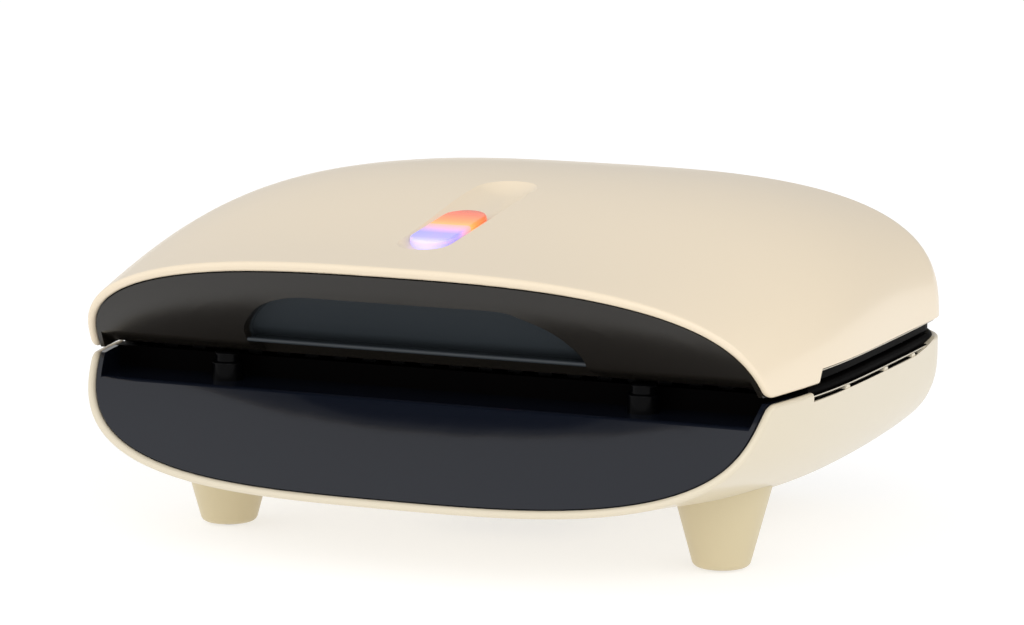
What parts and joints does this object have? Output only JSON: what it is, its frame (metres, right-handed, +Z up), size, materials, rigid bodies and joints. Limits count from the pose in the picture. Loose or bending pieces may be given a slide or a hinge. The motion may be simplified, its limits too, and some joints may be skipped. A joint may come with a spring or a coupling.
{
  "type": "panini press",
  "caption": "Contact grill for sandwiches with a domed lid hinged at the rear, slanted dark front panels, a finger recess, ribbed plates and conical feet.",
  "frame": {"origin": "middle of the footprint, on the surface that the feet stand on", "axes": "+X to the press's own left-to-right as seen from the front, +Y to the rear, +Z up"},
  "size_m": [0.2412, 0.1976, 0.1115],
  "materials": {
    "cream": "gloss",
    "dark": "gloss",
    "black": "satin",
    "coated": "non-stick coating",
    "steel": "satin",
    "heater": "oxidised",
    "rubber": "matt",
    "lens": "clear",
    "orange": "neon lamp",
    "violet": "neon lamp",
    "ceramic": "matt",
    "wire": "braided sleeve"
  },
  "bodies": {
    "base": {"lower_shell": "cream", "lower_front_panel": "dark", "lower_frame": "black", "lower_plate": "coated", "lower_heating_element": "heater", "lower_element_clamps": "steel", "lower_clamp_screws": "steel", "lower_heat_shield": "steel", "lower_frame_screws": "steel", "thermostat": "ceramic", "thermal_fuse": "steel", "rest_bumpers": "rubber", "foot_front_left": "cream", "foot_front_right": "cream", "foot_rear_left": "cream", "foot_rear_right": "cream", "foot_pads": "rubber", "foot_screws": "steel", "base_hinge": "steel", "base_hinge_screws": "steel", "hinge_pins": "steel", "cord_inlet": "rubber", "terminal_block": "ceramic", "base_leads": "wire"},
    "lid": {"upper_shell": "cream", "upper_front_panel": "dark", "handle_recess": "dark", "upper_frame": "black", "upper_plate": "coated", "upper_heating_element": "heater", "upper_element_clamps": "steel", "upper_clamp_screws": "steel", "upper_heat_shield": "steel", "upper_frame_screws": "steel", "upper_thermal_cutout": "ceramic", "lamp_window": "lens", "lamp_holder": "ceramic", "power_lamp": "orange", "ready_lamp": "violet", "lid_hinge": "steel", "lid_hinge_screws": "steel"}
  },
  "joints": [
    {"name": "lid_hinge", "type": "hinge", "parent": "base", "child": "lid", "pos_m": [0, 0.0928, 0.0609], "axis": [-1, 0, 0], "range_deg": [0, 95]}
  ]
}
